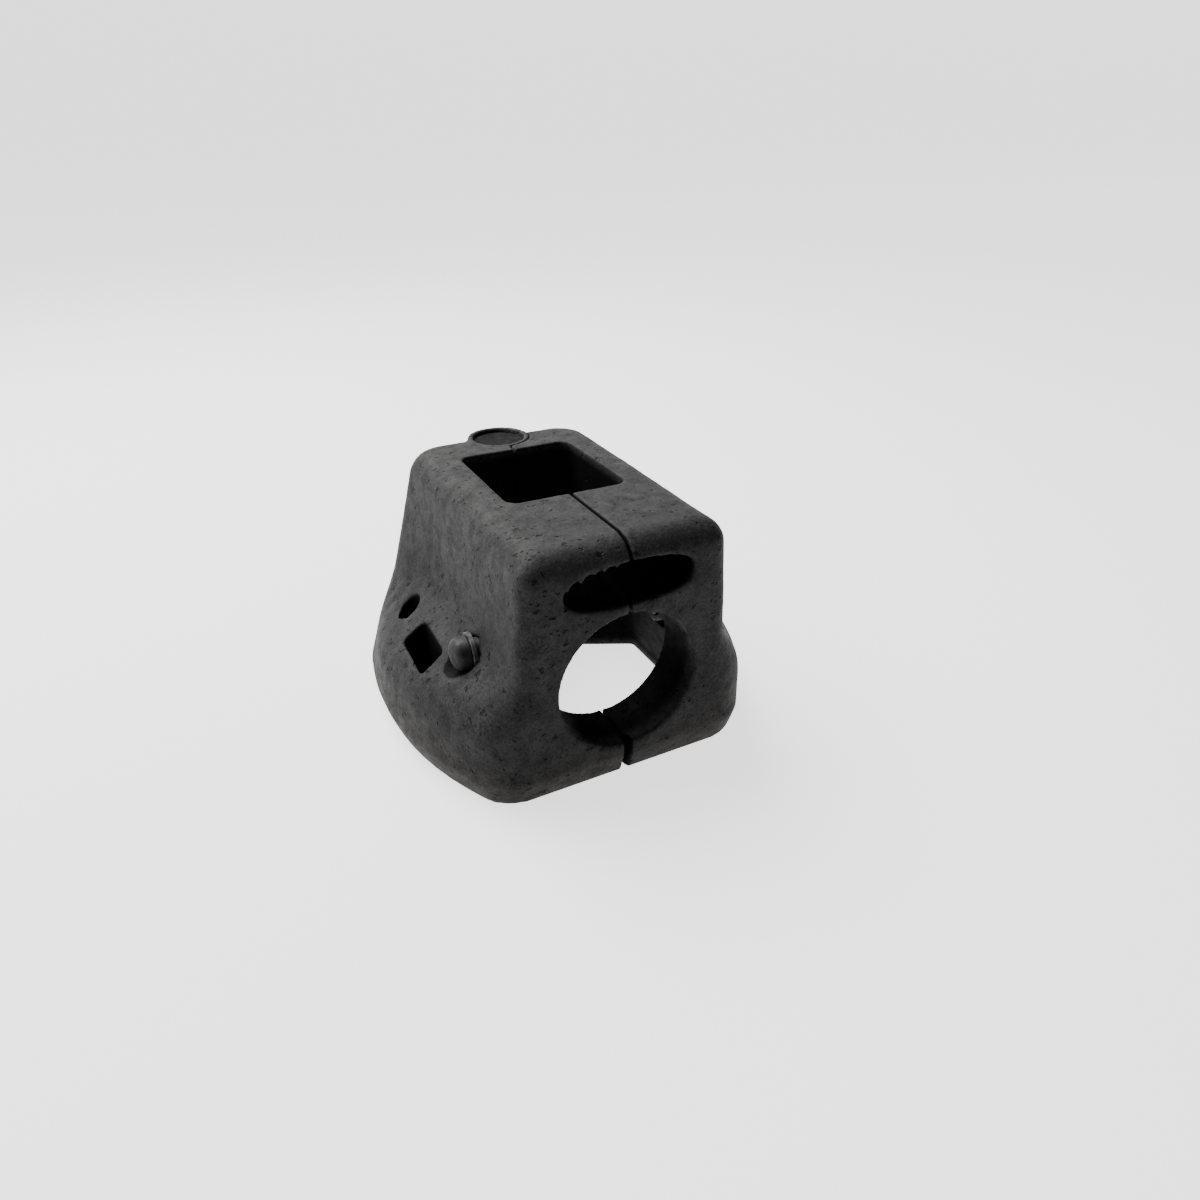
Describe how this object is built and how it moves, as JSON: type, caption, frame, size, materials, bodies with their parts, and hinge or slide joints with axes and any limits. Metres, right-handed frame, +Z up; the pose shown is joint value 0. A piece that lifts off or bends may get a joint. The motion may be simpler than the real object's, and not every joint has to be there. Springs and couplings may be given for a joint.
{
  "type": "tube and post mounting block",
  "caption": "Two-part hinged rubber block on a wide foot that holds a square post from above and a round tube from the front; the right half swings open on a rear pin.",
  "frame": {"origin": "middle of the overall footprint, on the floor", "axes": "+X to the right seen from the front, +Y from the tube bore towards the hinge at the back, +Z up; the seam is the X = 0 plane"},
  "size_m": [0.161, 0.146, 0.1065],
  "materials": {
    "rubber": "rough moulded, pitted",
    "pin_steel": "aged dull zinc",
    "fastener_steel": "aged dull zinc",
    "bush_steel": "plain"
  },
  "bodies": {
    "left_half": {"left_shell_front": "rubber", "left_shell_side": "rubber", "left_shell_foot": "rubber", "left_shell_back": "rubber", "hinge_pin": "pin_steel", "hinge_pin_washer": "fastener_steel", "hinge_pin_nut": "fastener_steel", "left_upper_bush": "bush_steel", "left_lower_bush": "bush_steel", "left_bolt": "fastener_steel", "left_bolt_washer": "fastener_steel", "left_bolt_plate": "fastener_steel", "left_bolt_nut": "fastener_steel"},
    "right_half": {"right_shell_front": "rubber", "right_shell_side": "rubber", "right_shell_foot": "rubber", "right_shell_back": "rubber", "right_bush": "bush_steel", "right_bolt": "fastener_steel", "right_bolt_washer": "fastener_steel", "right_bolt_plate": "fastener_steel", "right_bolt_nut": "fastener_steel"}
  },
  "joints": [
    {"name": "right_half_swing", "type": "hinge", "parent": "left_half", "child": "right_half", "pos_m": [0, 0.0585, 0.053], "axis": [0, 0, 1], "range_deg": [0, 60]}
  ]
}
